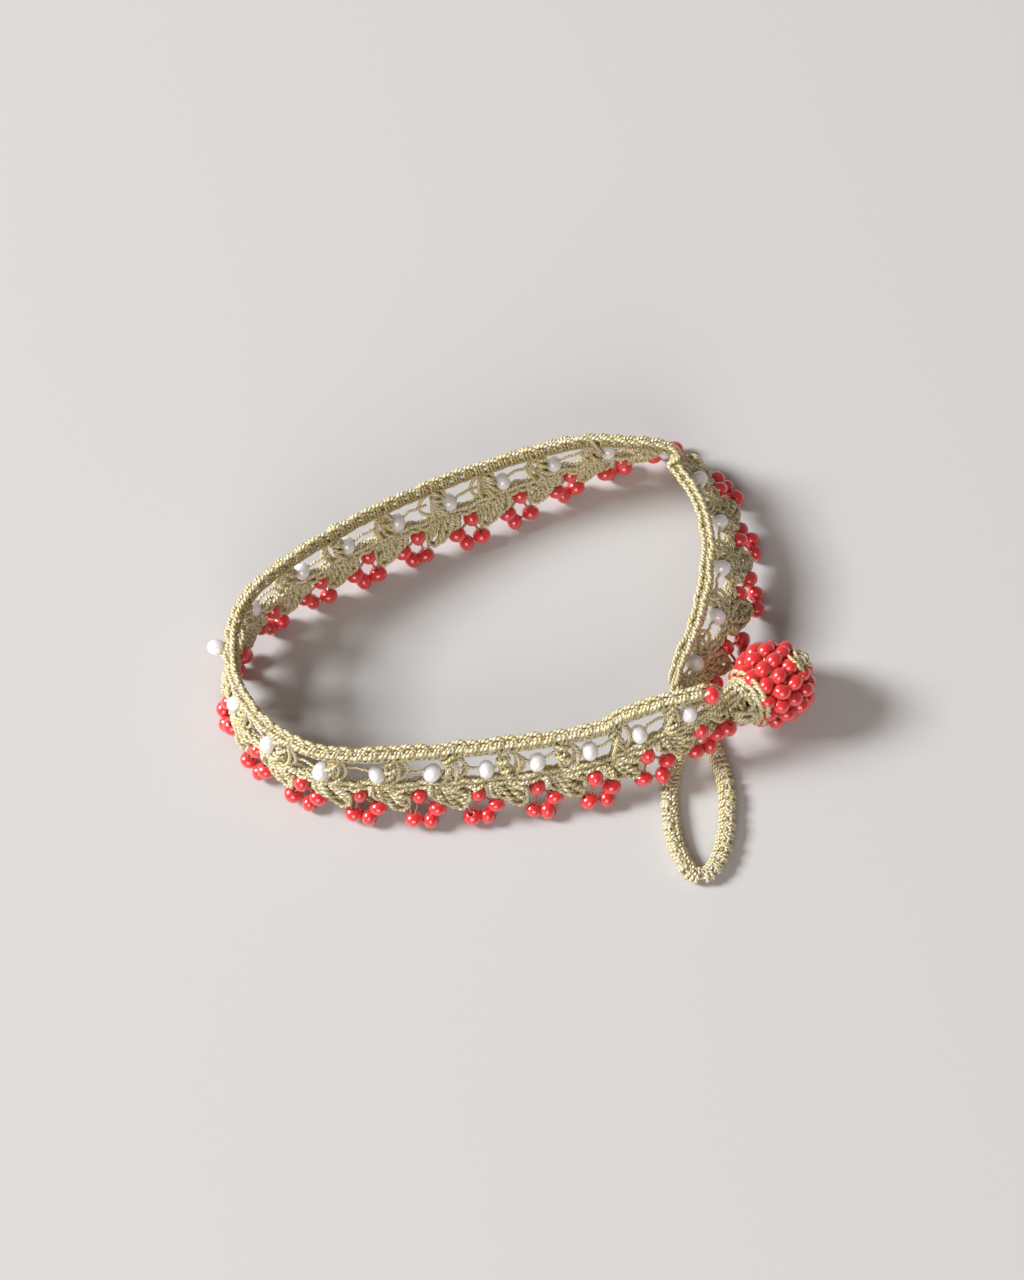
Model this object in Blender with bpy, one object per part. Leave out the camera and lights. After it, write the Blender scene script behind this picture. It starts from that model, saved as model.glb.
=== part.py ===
"""A crocheted lace bracelet with glass seed beads, lying unfastened with its ends crossed.

The band is one strip of lace: a thick foundation cord along the top, a row of windows
between stitched posts, and a scalloped lower edge. A ring of four beads hangs under each
window. One end carries a button, a crocheted ball covered in beads, and the other end a
closed button loop that lies flat. The strip stands on the beads of its lower edge.
"""

import math

import bpy
import numpy as np
from mathutils import Matrix, Vector

MM = 0.001

# The band, measured across it from the middle of the foundation cord down
BAND_WIDTH = 9.6 * MM
CORD_DIAMETER = 1.6 * MM
LACE_THICKNESS = 1.1 * MM
UNIT_PITCH = 6.55 * MM
WINDOW_WIDTH = 3.8 * MM
WINDOW_HEIGHT = 3.1 * MM
RAIL_WIDTH = 0.7 * MM

# The seed beads and the thread that holds four of them in a ring
BEAD_DIAMETER = 2.2 * MM
BEAD_LENGTH = 1.7 * MM
BEAD_SIDES = 10
THREAD_DIAMETER = 0.5 * MM
FIT_GAP = 0.3 * MM

# The ball button, whose core holds its beads a little sunk in, and the stem that joins it to
# the band and spreads into a cup of thread behind it
BALL_DIAMETER = 10.3 * MM
BALL_ROWS = 4
BALL_BEAD_SPACING = 2.3 * MM
BALL_SINK = 0.12
STEM_DIAMETER = 2.6 * MM
STEM_LENGTH = 1.3 * MM
STEM_TURN = math.radians(37)
STEM_SIDES = 12
CUP_SPREAD = math.radians(40)
CUP_THICKNESS = 0.8 * MM

# The button loop
LOOP_LENGTH = 19.6 * MM
LOOP_WIDTH = 8.2 * MM
LOOP_STRAND_WIDTH = 1.9 * MM
LOOP_STRAND_HEIGHT = 1.7 * MM
LOOP_TAPER = 0.4
LOOP_SEAT = 0.7

# The way the band lies, a row for every unit or two, from the ball end to the loop end.
# x and y place the lowest bead in a plan that is drawn to any size and then scaled, so that
# it spans ROUTE_SPAN along x. Lift raises the bead off the floor, by shares of the height of
# the loop's strand. Lean tips the cord inwards from upright, share narrows the band, and
# slide moves the cord along it, by shares of the pitch.
ROUTE_SPAN = 61.9 * MM
ROUTE = (
    # plan x, plan y, lift, lean deg, share, slide
    (25.0, -13.3, 1.47, 30.0, 0.64, -0.076),
    (22.0, -15.3, 1.35, 26.0, 0.88, -0.153),
    (15.9, -18.7, 0.82, 36.0, 1.0, -0.092),
    (9.2, -20.9, 0.0, 35.0, 1.0, 0.0),
    (-4.2, -22.8, 0.0, 34.0, 1.0, 0.0),
    (-17.2, -22.5, 0.0, 24.0, 1.0, 0.0),
    (-24.2, -20.5, 0.0, 18.0, 1.0, 0.0),
    (-29.8, -16.2, 0.0, 15.0, 1.0, 0.0),
    (-33.0, -10.0, 0.0, 12.0, 1.0, 0.0),
    (-31.3, -2.8, 0.0, 0.0, 1.0, 0.0),
    (-26.9, 2.1, 0.0, -8.0, 1.0, 0.0),
    (-15.9, 8.0, 0.0, -20.0, 1.0, 0.0),
    (-4.0, 12.9, 0.0, -27.0, 1.0, 0.0),
    (7.2, 19.2, 0.0, -8.0, 1.0, 0.0),
    (13.1, 22.4, 0.0, 12.0, 1.0, 0.0),
    (19.9, 24.8, 0.0, 36.0, 1.0, 0.0),
    (25.6, 20.4, 0.0, 42.0, 1.0, 0.0),
    (28.6, 13.3, 0.0, 42.0, 1.0, 0.0),
    (28.9, 5.6, 0.0, 42.0, 1.0, 0.0),
    (28.0, -1.4, 0.0, 45.0, 1.0, 0.0),
    (24.3, -7.6, 0.0, 43.0, 0.84, 0.0),
    (22.5, -11.2, 0.0, 52.0, 0.62, 0.0),
)

# The scalloped lower edge of one unit, from the middle of its window: the distance along
# as a share of the pitch, and the depth as a share of the room between rail and lowest bead
SCALLOP = (
    # along, depth
    (-0.50, 0.55),
    (-0.38, 0.42),
    (-0.16, 0.20),
    (-0.09, 0.0),
    (0.28, 0.0),
    (0.33, 0.50),
    (0.41, 0.58),
    (0.50, 0.55),
)

# The four beads of a ring: along the band as a share of the pitch, up from the lowest
# bead as a share of the ring's height, and whether the bead's hole runs along the band
RING_HEIGHT = 3.25 * MM
RING = (
    # along, up, hole along the band
    (0.09, 1.0, True),
    (-0.23, 0.52, False),
    (-0.09, 0.0, True),
    (0.20, 0.05, False),
)

RAIL_DEPTH = BAND_WIDTH - RING_HEIGHT - BEAD_DIAMETER / 2 - FIT_GAP
WINDOW_BOTTOM = RAIL_DEPTH - RAIL_WIDTH
ROUTE_SAMPLES = 40
WINDOW_ROUNDNESS = 3.0
SHARP_ANGLE = math.radians(40)


def finish(name, color, roughness, metallic=0.0):
    """A plain Principled material for one kind of piece."""
    material = bpy.data.materials.new(name)
    material.use_nodes = True
    shader = material.node_tree.nodes["Principled BSDF"]
    shader.inputs["Base Color"].default_value = (*color, 1.0)
    shader.inputs["Roughness"].default_value = roughness
    shader.inputs["Metallic"].default_value = metallic
    return material


def add_object(name, points, faces, material):
    """A named object from points and faces, shaded smooth except at sharp edges."""
    mesh = bpy.data.meshes.new(name)
    mesh.from_pydata([tuple(point) for point in points], [], faces)
    mesh.materials.append(material)
    mesh.shade_smooth()
    mesh.set_sharp_from_angle(angle=SHARP_ANGLE)
    made = bpy.data.objects.new(name, mesh)
    bpy.context.scene.collection.objects.link(made)
    return made


def smooth_rows(rows):
    """The route's rows, joined by a cubic whose slope at a row is that of its neighbours."""
    rows = np.array(rows)
    slopes = np.gradient(rows, axis=0)
    t = np.linspace(0.0, 1.0, ROUTE_SAMPLES, endpoint=False)[:, None]
    runs = []
    for start, end, leave, arrive in zip(rows[:-1], rows[1:], slopes[:-1], slopes[1:]):
        runs.append(
            (2 * t**3 - 3 * t**2 + 1) * start
            + (t**3 - 2 * t**2 + t) * leave
            + (3 * t**2 - 2 * t**3) * end
            + (t**3 - t**2) * arrive
        )
    return np.vstack([*runs, rows[-1:]])


class Band:
    """The ruled strip between the cord's line and the lowest beads' line."""

    def __init__(self, rows):
        dense = smooth_rows(rows)
        plan = ROUTE_SPAN / np.ptp(np.array(rows)[:, 0])
        low = dense[:, :3] * [plan, plan, LOOP_STRAND_HEIGHT] + [0.0, 0.0, BEAD_DIAMETER / 2]
        ahead = np.gradient(low[:, :2], axis=0)
        ahead /= np.linalg.norm(ahead, axis=1)[:, None]
        lean = np.radians(dense[:, 3])
        share = dense[:, 4]
        across = np.stack(
            [ahead[:, 1] * np.sin(lean), -ahead[:, 0] * np.sin(lean), np.cos(lean)], axis=1
        )
        slide = np.pad(ahead, ((0, 0), (0, 1))) * dense[:, 5:] * UNIT_PITCH
        self.low = low
        self.high = low + across * (BAND_WIDTH * share)[:, None] + slide
        middle = (self.low + self.high) / 2
        steps = np.linalg.norm(np.diff(middle, axis=0), axis=1)
        self.along = np.concatenate([[0.0], np.cumsum(steps)])
        self.length = self.along[-1]
        self.tangent = np.gradient(low, self.along, axis=0)

    def read(self, table, distance):
        return np.array([np.interp(distance, self.along, table[:, i]) for i in range(3)])

    def frame(self, distance):
        """Cord point, lowest bead point, and the unit vectors along, down and out of the face."""
        high = self.read(self.high, distance)
        low = self.read(self.low, distance)
        down = (low - high) / np.linalg.norm(low - high)
        along = self.read(self.tangent, distance)
        along -= down * along.dot(down)
        along /= np.linalg.norm(along)
        return high, low, along, down, np.cross(along, down)

    def point(self, distance, depth, lift):
        """A point at a depth below the cord and a lift out of the face.

        Where the strip is narrower, the lace closes up and the scallops and beads keep their size.
        """
        high, low, _, down, out = self.frame(min(max(distance, 0.0), self.length))
        narrowed = BAND_WIDTH - np.linalg.norm(low - high)
        depth -= narrowed * min(max(depth / RAIL_DEPTH, 0.0), 1.0)
        return high + down * depth + out * lift


def half_thickness(depth):
    """The strip is round at the cord and flat below it."""
    if depth < -CORD_DIAMETER / 4:
        return CORD_DIAMETER * 0.22
    if depth < CORD_DIAMETER / 4:
        return CORD_DIAMETER / 2
    return LACE_THICKNESS / 2


def window_ring(pitch):
    """Matching points round a unit's frame and round its window, as (along, depth) pairs."""
    top = CORD_DIAMETER / 2
    sides = [top + (RAIL_DEPTH - top) * share for share in (1 / 3, 2 / 3)]
    outer = [(share * pitch, RAIL_DEPTH) for share, _ in SCALLOP]
    outer += [(pitch / 2, depth) for depth in reversed(sides)]
    outer += [(share * pitch, top) for share in (0.5, 0.2, -0.2, -0.5)]
    outer += [(-pitch / 2, depth) for depth in sides]
    middle = WINDOW_BOTTOM - WINDOW_HEIGHT / 2
    inner = []
    for along, depth in outer:
        turn = math.atan2((depth - middle) / WINDOW_HEIGHT, along / WINDOW_WIDTH)
        power = 2 / WINDOW_ROUNDNESS
        wide = math.copysign(abs(math.cos(turn)) ** power, math.cos(turn))
        high = math.copysign(abs(math.sin(turn)) ** power, math.sin(turn))
        inner.append((wide * WINDOW_WIDTH / 2, middle + high * WINDOW_HEIGHT / 2))
    return outer, inner


def unit_cells(pitch):
    """The flat cells of one unit: cord, frame round the window, and scallop."""
    outer, inner = window_ring(pitch)
    cells = []
    for i in range(len(outer)):
        j = (i + 1) % len(outer)
        cells.append((outer[i], outer[j], inner[j], inner[i]))
    room = BAND_WIDTH - RAIL_DEPTH
    for (first, shallow), (second, deep) in zip(SCALLOP[:-1], SCALLOP[1:]):
        if shallow == 0.0 and deep == 0.0:
            continue
        cell = [(first * pitch, RAIL_DEPTH + shallow * room), (second * pitch, RAIL_DEPTH + deep * room)]
        if deep > 0.0:
            cell.append((second * pitch, RAIL_DEPTH))
        if shallow > 0.0:
            cell.append((first * pitch, RAIL_DEPTH))
        cells.append(tuple(cell))
    columns = [share * pitch for share in (-0.5, -0.2, 0.2, 0.5)]
    rows = [-CORD_DIAMETER / 2, 0.0, CORD_DIAMETER / 2]
    for left, right in zip(columns[:-1], columns[1:]):
        for upper, lower in zip(rows[:-1], rows[1:]):
            cells.append(((left, lower), (right, lower), (right, upper), (left, upper)))
    return cells


def make_lace_band(band, material):
    """Every unit's cells, given a front, a back, and a wall round each edge and window."""
    units = round(band.length / UNIT_PITCH)
    pitch = band.length / units
    index = {}
    places = []
    cells = []
    for unit in range(units):
        middle = (unit + 0.5) * pitch
        for cell in unit_cells(pitch):
            corners = []
            for along, depth in cell:
                key = (round((middle + along) / MM, 3), round(depth / MM, 3))
                if key not in index:
                    index[key] = len(places)
                    places.append((middle + along, depth))
                corners.append(index[key])
            cells.append(corners)
    points = [band.point(along, depth, half_thickness(depth)) for along, depth in places]
    points += [band.point(along, depth, -half_thickness(depth)) for along, depth in places]
    back = len(places)
    edges = {(a, b) for cell in cells for a, b in zip(cell, cell[1:] + cell[:1])}
    faces = [cell[::-1] for cell in cells]
    faces += [[corner + back for corner in cell] for cell in cells]
    faces += [[a, b, b + back, a + back] for a, b in edges if (b, a) not in edges]
    return add_object("lace_band", points, faces, material)


def bead_mesh(name, place, hole):
    """One seed bead: a short barrel with rounded ends, its hole along the given direction."""
    half = BEAD_LENGTH / 2
    profile = ((-half * 0.5, BEAD_DIAMETER * 0.47), (half * 0.5, BEAD_DIAMETER * 0.47))
    turn = Vector(hole).to_track_quat("Z", "Y").to_matrix()
    points = [(0.0, 0.0, -half)]
    for height, radius in profile:
        for side in range(BEAD_SIDES):
            angle = 2 * math.pi * (side + 0.5) / BEAD_SIDES
            points.append((radius * math.cos(angle), radius * math.sin(angle), height))
    points.append((0.0, 0.0, half))
    last = len(points) - 1
    faces = []
    for side in range(BEAD_SIDES):
        a = 1 + side
        b = 1 + (side + 1) % BEAD_SIDES
        faces += [(0, b, a), (a, b, b + BEAD_SIDES, a + BEAD_SIDES), (a + BEAD_SIDES, b + BEAD_SIDES, last)]
    mesh = bpy.data.meshes.new(name)
    mesh.from_pydata([tuple(turn @ Vector(point) + Vector(place)) for point in points], [], faces)
    return mesh


def fused(base, others, name, material):
    """The base mesh joined with the others into one closed mesh."""
    scene = bpy.context.scene
    body = bpy.data.objects.new(name + "_body", base)
    scene.collection.objects.link(body)
    group = bpy.data.collections.new(name + "_beads")
    for mesh in others:
        group.objects.link(bpy.data.objects.new(mesh.name, mesh))
    union = body.modifiers.new("union", "BOOLEAN")
    union.operation = "UNION"
    union.operand_type = "COLLECTION"
    union.collection = group
    scene.collection.children.link(group)
    graph = bpy.context.evaluated_depsgraph_get()
    mesh = bpy.data.meshes.new_from_object(body.evaluated_get(graph))
    for helper in [body, *group.objects]:
        bpy.data.objects.remove(helper)
    bpy.data.collections.remove(group)
    mesh.name = name
    mesh.materials.clear()
    mesh.materials.append(material)
    mesh.shade_smooth()
    mesh.set_sharp_from_angle(angle=SHARP_ANGLE)
    return mesh


def ring_mesh(pitch, material):
    """Four beads on their closed loop of thread. x runs along the band and y up it."""
    places = [(along * pitch, up * RING_HEIGHT, 0.0) for along, up, _ in RING]
    sides = 5
    points = []
    middle = Vector(np.mean(places, axis=0))
    for place in places:
        away = (Vector(place) - middle).normalized()
        for side in range(sides):
            angle = 2 * math.pi * side / sides
            offset = away * math.cos(angle) + Vector((0.0, 0.0, 1.0)) * math.sin(angle)
            points.append(Vector(place) + offset * THREAD_DIAMETER / 2)
    faces = []
    for corner in range(len(places)):
        following = (corner + 1) % len(places)
        for side in range(sides):
            right = (side + 1) % sides
            faces.append(
                (corner * sides + side, following * sides + side, following * sides + right, corner * sides + right)
            )
    thread = bpy.data.meshes.new("ring_thread")
    thread.from_pydata([tuple(point) for point in points], [], faces)
    beads = []
    for number, (place, (_, _, hole_along)) in enumerate(zip(places, RING)):
        hole = (1.0, 0.0, 0.0) if hole_along else (0.0, 1.0, 0.0)
        beads.append(bead_mesh(f"ring_bead_{number}", place, hole))
    return fused(thread, beads, "bead_ring", material)


def make_bead_rings(band, material):
    """A ring of beads under each window, each its own object on one shared mesh."""
    units = round(band.length / UNIT_PITCH)
    pitch = band.length / units
    mesh = ring_mesh(pitch, material)
    for unit in range(units):
        _, low, along, down, out = band.frame((unit + 0.5) * pitch)
        made = bpy.data.objects.new(f"bead_ring_{unit + 1:02d}", mesh)
        turn = Matrix((tuple(along), tuple(-down), tuple(-out))).transposed().to_4x4()
        made.matrix_world = Matrix.Translation(Vector(low)) @ turn
        bpy.context.scene.collection.objects.link(made)


def sphere_mesh(name, middle, radius):
    """A round core of triangles."""
    helper = bpy.data.meshes.new(name)
    rings, sides = 9, 16
    points = [(0.0, 0.0, -radius)]
    for ring in range(1, rings):
        tilt = math.pi * ring / rings
        for side in range(sides):
            angle = 2 * math.pi * side / sides
            flat = radius * math.sin(tilt)
            points.append((flat * math.cos(angle), flat * math.sin(angle), -radius * math.cos(tilt)))
    points.append((0.0, 0.0, radius))
    last = len(points) - 1
    faces = []
    for side in range(sides):
        right = (side + 1) % sides
        faces.append((0, 1 + right, 1 + side))
        for ring in range(rings - 2):
            a = 1 + ring * sides
            faces.append((a + side, a + right, a + sides + right, a + sides + side))
        top = 1 + (rings - 2) * sides
        faces.append((top + side, top + right, last))
    helper.from_pydata([tuple(Vector(point) + middle) for point in points], [], faces)
    return helper


def bead_seat():
    """How far the middle of each bead on the ball lies from the ball's middle."""
    return (BALL_DIAMETER - BEAD_DIAMETER) / 2


def place_ball(band):
    """The stem's end at the band, and the ball's middle, resting at floor level."""
    high, low, along, _, _ = band.frame(0.0)
    joint = Vector((high + low) / 2 - along * FIT_GAP)
    away = STEM_LENGTH + BALL_DIAMETER / 2
    middle = joint + Vector((math.cos(STEM_TURN), math.sin(STEM_TURN), 0.0)) * away
    middle.z = BALL_DIAMETER / 2
    return joint, middle


def make_ball_button(band, material):
    """The crocheted ball: a core, rows of beads round the line of its stem, and a bead on its tip."""
    joint, middle = place_ball(band)
    seat = bead_seat()
    core = sphere_mesh("ball_core", middle, seat + BEAD_DIAMETER * BALL_SINK)
    turn = (middle - joint).to_track_quat("Z", "Y").to_matrix()
    first = CUP_SPREAD + (BEAD_DIAMETER / 2 + FIT_GAP) / seat - math.pi / 2
    step = (math.pi / 2 - first) / BALL_ROWS
    beads = [bead_mesh("ball_bead_tip", middle + turn.col[2] * seat, turn.col[0])]
    for row in range(BALL_ROWS):
        tilt = first + row * step
        around = int(2 * math.pi * seat * math.cos(tilt) / BALL_BEAD_SPACING)
        for number in range(around):
            angle = 2 * math.pi * (number + 0.5 * (row % 2)) / around
            outward = Vector(
                (math.cos(tilt) * math.cos(angle), math.cos(tilt) * math.sin(angle), math.sin(tilt))
            )
            hole = Vector((-math.sin(angle), math.cos(angle), 0.0))
            beads.append(
                bead_mesh(f"ball_bead_{row}_{number}", middle + turn @ outward * seat, turn @ hole)
            )
    mesh = fused(core, beads, "ball_button", material)
    made = bpy.data.objects.new("ball_button", mesh)
    bpy.context.scene.collection.objects.link(made)


def make_ball_stem(band, material):
    """The stem, turned about its line: a thin cup round the ball's core, drawn in to a short neck."""
    joint, middle = place_ball(band)
    inside = bead_seat() + BEAD_DIAMETER * BALL_SINK + FIT_GAP
    outside = inside + CUP_THICKNESS
    neck = STEM_DIAMETER / 2
    back = (joint - middle).length
    turns = [CUP_SPREAD * share for share in (0.33, 0.67, 1.0)]
    profile = [(inside * math.cos(turn), inside * math.sin(turn)) for turn in turns]
    profile += [(outside * math.cos(turn), outside * math.sin(turn)) for turn in reversed(turns[1:])]
    profile += [((outside + back) / 2, neck), (back, neck)]
    turned = (joint - middle).to_track_quat("Z", "Y").to_matrix()
    points = [middle + turned @ Vector((0.0, 0.0, inside))]
    for far, radius in profile:
        for side in range(STEM_SIDES):
            angle = 2 * math.pi * side / STEM_SIDES
            ring = Vector((radius * math.cos(angle), radius * math.sin(angle), far))
            points.append(middle + turned @ ring)
    faces = []
    for side in range(STEM_SIDES):
        right = (side + 1) % STEM_SIDES
        faces.append((0, 1 + right, 1 + side))
        for ring in range(len(profile) - 1):
            a = 1 + ring * STEM_SIDES
            faces.append((a + side, a + right, a + STEM_SIDES + right, a + STEM_SIDES + side))
    last = 1 + (len(profile) - 1) * STEM_SIDES
    faces.append(tuple(range(last, last + STEM_SIDES)))
    return add_object("ball_stem", points, faces, material)


def make_button_loop(band, material):
    """A closed drop-shaped loop of covered thread, flat underneath, its neck at the band's end."""
    steps = 28
    half_width = (LOOP_WIDTH - LOOP_STRAND_WIDTH) / 2
    run = LOOP_LENGTH - LOOP_STRAND_WIDTH
    high, low, _, _, _ = band.frame(band.length)
    seat = high + (low - high) * LOOP_SEAT
    neck = Vector((seat[0], seat[1] - LOOP_STRAND_WIDTH / 2 - FIT_GAP, 0.0))
    section = (
        # out of the loop as a share of the strand's width, up as a share of its height
        (-0.30, 0.0),
        (0.30, 0.0),
        (0.50, 0.28),
        (0.50, 0.66),
        (0.28, 1.0),
        (-0.28, 1.0),
        (-0.50, 0.66),
        (-0.50, 0.28),
    )
    centres = []
    for step in range(steps):
        turn = 2 * math.pi * step / steps
        down = run * (1 - math.cos(turn)) / 2
        drawn_in = LOOP_TAPER * max(math.cos(turn), 0.0) ** 2
        wide = half_width * math.sin(turn) * (1.0 - drawn_in)
        centres.append(Vector((wide, -down, 0.0)))
    points = []
    for step, centre in enumerate(centres):
        ahead = centres[(step + 1) % steps] - centres[step - 1]
        side = Vector((ahead.y, -ahead.x, 0.0)).normalized()
        for out, up in section:
            offset = -side * out * LOOP_STRAND_WIDTH + Vector((0.0, 0.0, up * LOOP_STRAND_HEIGHT))
            points.append(neck + centre + offset)
    count = len(section)
    faces = []
    for step in range(steps):
        a = step * count
        b = ((step + 1) % steps) * count
        for side in range(count):
            right = (side + 1) % count
            faces.append((a + side, a + right, b + right, b + side))
    return add_object("button_loop", points, faces, material)


def centre_on_floor():
    """Moves every piece so that the origin is the middle of the whole box, at floor level."""
    bpy.context.view_layer.update()
    pieces = [made for made in bpy.context.scene.objects if made.type == "MESH"]
    corners = np.array(
        [made.matrix_world @ vertex.co for made in pieces for vertex in made.data.vertices]
    )
    low, high = corners.min(axis=0), corners.max(axis=0)
    shift = Vector(((low[0] + high[0]) / 2, (low[1] + high[1]) / 2, low[2]))
    for made in pieces:
        made.matrix_world = Matrix.Translation(-shift) @ made.matrix_world


def main():
    for old in list(bpy.data.objects):
        bpy.data.objects.remove(old)
    thread = finish("pale_green_thread", (0.62, 0.58, 0.30), 0.45)
    glass = finish("red_bead_glass", (0.62, 0.01, 0.02), 0.12)
    button = finish("red_button_beads", (0.60, 0.01, 0.02), 0.12)
    loop_thread = finish("pale_green_loop_thread", (0.60, 0.56, 0.30), 0.45)
    band = Band(ROUTE)
    make_lace_band(band, thread)
    make_bead_rings(band, glass)
    make_ball_button(band, button)
    make_ball_stem(band, thread)
    make_button_loop(band, loop_thread)
    centre_on_floor()


main()
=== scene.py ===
"""The looks of a crocheted lace bracelet with seed beads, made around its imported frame.

The bracelet's sizes are written in millimetres. Those of the lamps and the table top are in
metres, and so is every mesh.
"""

import math

import bpy
import numpy as np
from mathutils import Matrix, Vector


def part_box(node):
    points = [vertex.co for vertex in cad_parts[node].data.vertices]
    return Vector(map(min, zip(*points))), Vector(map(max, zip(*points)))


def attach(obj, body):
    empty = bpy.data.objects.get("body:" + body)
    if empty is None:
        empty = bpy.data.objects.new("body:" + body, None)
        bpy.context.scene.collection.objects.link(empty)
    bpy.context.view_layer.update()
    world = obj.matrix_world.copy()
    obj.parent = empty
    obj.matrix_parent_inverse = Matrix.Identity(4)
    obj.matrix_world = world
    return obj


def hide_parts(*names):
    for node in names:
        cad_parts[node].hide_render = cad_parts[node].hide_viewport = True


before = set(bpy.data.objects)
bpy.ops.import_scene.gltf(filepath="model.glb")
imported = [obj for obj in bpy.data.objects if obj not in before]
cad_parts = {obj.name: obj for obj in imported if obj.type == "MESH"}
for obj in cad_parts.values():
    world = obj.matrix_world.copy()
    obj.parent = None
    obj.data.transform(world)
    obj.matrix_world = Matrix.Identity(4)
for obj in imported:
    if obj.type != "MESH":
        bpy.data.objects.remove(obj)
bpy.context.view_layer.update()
MM = 0.001

# The table top and the window light. The bracelet lies on a plain pale surface, lit from its
# left by one soft window and filled by a pale wall in front of it and an even warm room. The
# camera looks steeply down.
ORIGIN = np.array([-0.3095, 2.2382, 0.0])
CAMERA_TILT = math.radians(65)
CAMERA_DISTANCE = 300.0
PIXELS_PER_MM = 8.5
PICTURE_HEIGHT = 1280
SENSOR = 36.0
camera_data = bpy.data.cameras.new("camera")
camera_data.sensor_width = SENSOR
camera_data.lens = PIXELS_PER_MM * CAMERA_DISTANCE * SENSOR / PICTURE_HEIGHT
camera_data.clip_start = 0.01
camera = bpy.data.objects.new("camera", camera_data)
back_off = np.array([0.0, -math.cos(CAMERA_TILT), math.sin(CAMERA_TILT)])
camera.location = (ORIGIN + CAMERA_DISTANCE * back_off) * MM
camera.rotation_euler = (math.pi / 2 - CAMERA_TILT, 0.0, 0.0)
bpy.context.scene.collection.objects.link(camera)
bpy.context.scene.camera = camera


def add_lamp(name, toward, distance, size, watts, color):
    """A square soft lamp that faces the bracelet from the given side."""
    data = bpy.data.lights.new(name, "AREA")
    data.size = size
    data.energy = watts
    data.color = color
    lamp = bpy.data.objects.new(name, data)
    side = np.array(toward) / np.linalg.norm(toward)
    lamp.location = side * distance
    lamp.rotation_euler = (math.acos(side[2]), 0.0, math.atan2(side[1], side[0]) + math.pi / 2)
    bpy.context.scene.collection.objects.link(lamp)


add_lamp(
    "window", toward=(-1.0, 0.10, 0.70), distance=2.4, size=0.70, watts=81.0, color=(0.97, 0.985, 1.0)
)
add_lamp(
    "pale_wall", toward=(-0.10, -1.0, 0.60), distance=1.6, size=1.0, watts=11.5, color=(1.0, 0.94, 0.89)
)
world = bpy.data.worlds.new("room")
world.use_nodes = True
world.node_tree.nodes["Background"].inputs["Color"].default_value = (0.90, 0.79, 0.73, 1.0)
world.node_tree.nodes["Background"].inputs["Strength"].default_value = 0.23
bpy.context.scene.world = world
bpy.context.scene.view_settings.view_transform = "Standard"

TABLE_HALF = 0.6
table_corners = [(x * TABLE_HALF, y * TABLE_HALF, 0.0) for x, y in ((-1, -1), (1, -1), (1, 1), (-1, 1))]
floor_mesh = bpy.data.meshes.new("table_top")
floor_mesh.from_pydata(table_corners, [], [(0, 1, 2, 3)])
floor = bpy.data.objects.new("table_top", floor_mesh)
bpy.context.scene.collection.objects.link(floor)
stone = bpy.data.materials.new("pale_table")
stone.use_nodes = True
stone_shader = stone.node_tree.nodes["Principled BSDF"]
stone_shader.inputs["Base Color"].default_value = (0.60, 0.595, 0.59, 1.0)
stone_shader.inputs["Roughness"].default_value = 0.9
stone_shader.inputs["Specular IOR Level"].default_value = 0.2
floor_mesh.materials.append(stone)

# The way that the band lies. It is a strip ruled between the cord's line and the line of the
# lowest beads, from the ball end round to the loop end, and every stitch is placed on it.
BAND_WIDTH = 9.6
BEAD_DIAMETER = 2.2
BEAD_LENGTH = 1.7
UNITS = 25
RING_HEIGHT = 3.25
LOOP_STRAND_HEIGHT = 1.7
PLAN_PITCH = 6.55
FIT_GAP = 0.3
RAIL_WIDTH = 0.7
RAIL_DEPTH = BAND_WIDTH - RING_HEIGHT - BEAD_DIAMETER / 2 - FIT_GAP
WINDOW_BOTTOM = RAIL_DEPTH - RAIL_WIDTH
ROUTE_SAMPLES = 40
ROUTE = (
    # x mm, y mm, lift in loop strand heights, lean in degrees, share of the band's width, and
    # slide of the cord in plan pitches
    (25.0, -13.3, 1.47, 30.0, 0.64, -0.076),
    (22.0, -15.3, 1.35, 26.0, 0.88, -0.153),
    (15.9, -18.7, 0.82, 36.0, 1.0, -0.092),
    (9.2, -20.9, 0.0, 35.0, 1.0, 0.0),
    (-4.2, -22.8, 0.0, 34.0, 1.0, 0.0),
    (-17.2, -22.5, 0.0, 24.0, 1.0, 0.0),
    (-24.2, -20.5, 0.0, 18.0, 1.0, 0.0),
    (-29.8, -16.2, 0.0, 15.0, 1.0, 0.0),
    (-33.0, -10.0, 0.0, 12.0, 1.0, 0.0),
    (-31.3, -2.8, 0.0, 0.0, 1.0, 0.0),
    (-26.9, 2.1, 0.0, -8.0, 1.0, 0.0),
    (-15.9, 8.0, 0.0, -20.0, 1.0, 0.0),
    (-4.0, 12.9, 0.0, -27.0, 1.0, 0.0),
    (7.2, 19.2, 0.0, -8.0, 1.0, 0.0),
    (13.1, 22.4, 0.0, 12.0, 1.0, 0.0),
    (19.9, 24.8, 0.0, 36.0, 1.0, 0.0),
    (25.6, 20.4, 0.0, 42.0, 1.0, 0.0),
    (28.6, 13.3, 0.0, 42.0, 1.0, 0.0),
    (28.9, 5.6, 0.0, 42.0, 1.0, 0.0),
    (28.0, -1.4, 0.0, 45.0, 1.0, 0.0),
    (24.3, -7.6, 0.0, 43.0, 0.84, 0.0),
    (22.5, -11.2, 0.0, 52.0, 0.62, 0.0),
)
random = np.random.default_rng(11)


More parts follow.
